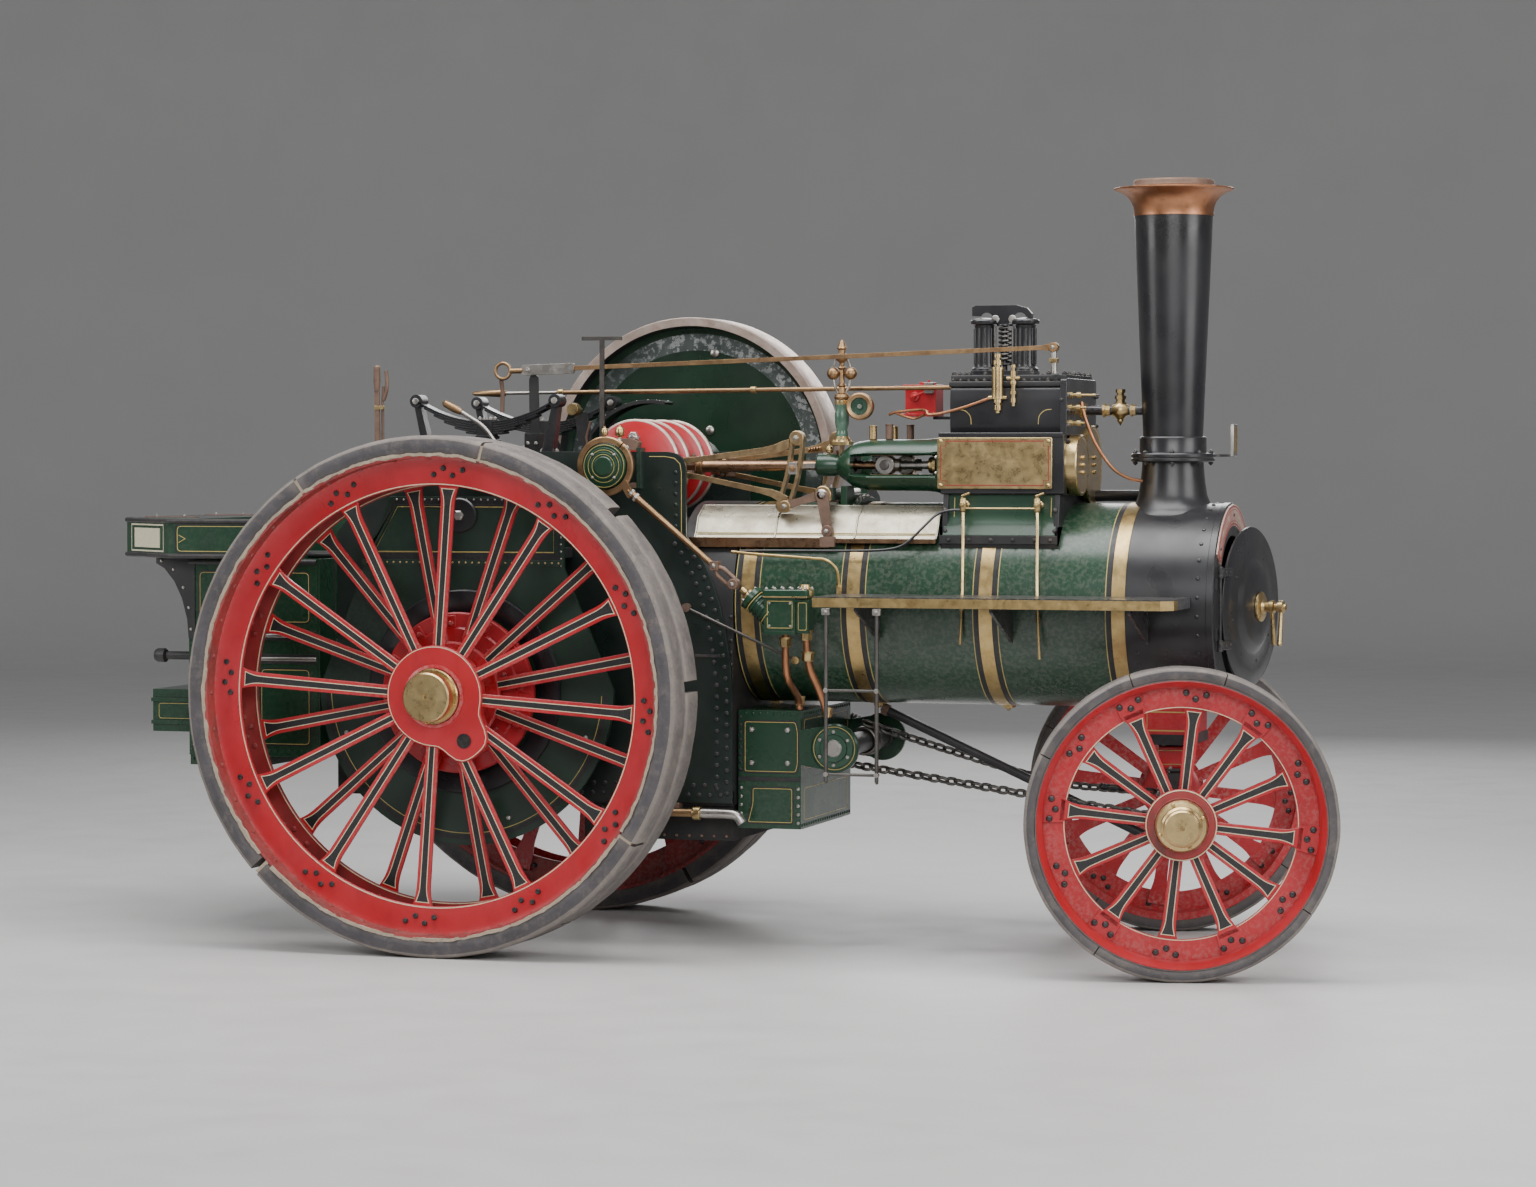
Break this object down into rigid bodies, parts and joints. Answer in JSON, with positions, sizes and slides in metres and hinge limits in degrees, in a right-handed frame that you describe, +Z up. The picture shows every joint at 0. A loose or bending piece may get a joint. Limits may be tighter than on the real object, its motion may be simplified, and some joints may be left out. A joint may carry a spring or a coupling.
{
  "type": "steam traction engine",
  "caption": "Steam traction engine with spoked wheels on rubber blocks, overtype compound cylinders, flywheel, chain steering, belly tank, tender and hinged smokebox door.",
  "frame": {"origin": "on the ground under the middle of the whole engine's length and width", "axes": "+X points to the smokebox at the front, +Y to the engine's left side, +Z up"},
  "size_m": [5.2536, 2.146, 3.131],
  "materials": {
    "green_paint": "dark green gloss paint, worn",
    "black_paint": "black enamel, worn",
    "red_paint": "signal red gloss paint with black and cream lining",
    "rubber": "solid rubber block, dusty and cracked",
    "brass": "old polished brass",
    "steel": "bright steel with brown stains",
    "bronze": "brown bronze and gunmetal",
    "copper": "dull copper",
    "tin": "stained tinned sheet"
  },
  "bodies": {
    "chassis": {"governor": "brass", "pump_rod": "brass", "rear_axle": "steel", "steering_column": "steel", "steering_hand_wheel": "steel", "reversing_lever": "steel", "ladder": "steel", "steering_chain_right": "steel", "steering_chain_left": "steel", "firebox": "black_paint", "smokebox": "black_paint", "chimney_base": "black_paint", "chimney_barrel": "black_paint", "cylinder_block": "black_paint", "safety_valves": "black_paint", "steam_pipe": "black_paint", "rear_spring_right": "black_paint", "rear_spring_left": "black_paint", "footplate": "black_paint", "perch_stay": "black_paint", "running_board_right": "black_paint", "running_board_left": "black_paint", "boiler_barrel": "green_paint", "motion_frame": "green_paint", "hornplate_right": "green_paint", "hornplate_left": "green_paint", "gear_guard": "green_paint", "crank_guard": "green_paint", "tender_tank": "green_paint", "tender_sides": "green_paint", "tender_locker": "green_paint", "feed_pump": "green_paint", "belly_tank": "green_paint", "connecting_rod_right": "bronze", "connecting_rod_left": "bronze", "valve_gear": "bronze", "regulator_rod": "bronze", "control_rod": "bronze", "chimney_cap": "copper", "splash_tray": "tin"},
    "rear_wheel_right": {"rear_tyre_right": "rubber", "rear_wheel_right": "red_paint", "rear_hub_cap_right": "brass"},
    "rear_wheel_left": {"rear_tyre_left": "rubber", "rear_wheel_left": "red_paint", "rear_hub_cap_left": "brass"},
    "front_axle": {"front_axle_beam": "black_paint", "front_axle_spring": "red_paint"},
    "front_wheel_right": {"front_tyre_right": "rubber", "front_wheel_right": "red_paint", "front_hub_cap_right": "brass"},
    "front_wheel_left": {"front_tyre_left": "rubber", "front_wheel_left": "red_paint", "front_hub_cap_left": "brass"},
    "crankshaft": {"crankshaft": "red_paint", "flywheel": "green_paint"},
    "smokebox_door": {"smokebox_door": "black_paint", "door_handles": "brass"}
  },
  "joints": [
    {"name": "rear_right_roll", "type": "hinge", "parent": "chassis", "child": "rear_wheel_right", "pos_m": [-1.0058, -0.915, 1.05], "axis": [0, 1, 0], "continuous": true},
    {"name": "rear_left_roll", "type": "hinge", "parent": "chassis", "child": "rear_wheel_left", "pos_m": [-1.0058, 0.915, 1.05], "axis": [0, 1, 0], "continuous": true},
    {"name": "steering", "type": "hinge", "parent": "chassis", "child": "front_axle", "pos_m": [1.8312, 0, 0.604], "axis": [0, 0, 1], "range_deg": [-39.6, 14.4], "deforming": ["steering_chain_right", "steering_chain_left"]},
    {"name": "front_right_roll", "type": "hinge", "parent": "front_axle", "child": "front_wheel_right", "pos_m": [2.0155, -0.8246, 0.604], "axis": [-0.2181, 0.9759, 0], "continuous": true},
    {"name": "front_left_roll", "type": "hinge", "parent": "front_axle", "child": "front_wheel_left", "pos_m": [1.6469, 0.8246, 0.604], "axis": [-0.2181, 0.9759, 0], "continuous": true},
    {"name": "crank_turn", "type": "hinge", "parent": "chassis", "child": "crankshaft", "pos_m": [-0.4028, 0, 1.976], "axis": [0, 1, 0], "continuous": true},
    {"name": "smokebox_door_swing", "type": "hinge", "parent": "chassis", "child": "smokebox_door", "pos_m": [2.0752, -0.345, 1.412], "axis": [0, 0, -1], "range_deg": [-10, 90]}
  ]
}
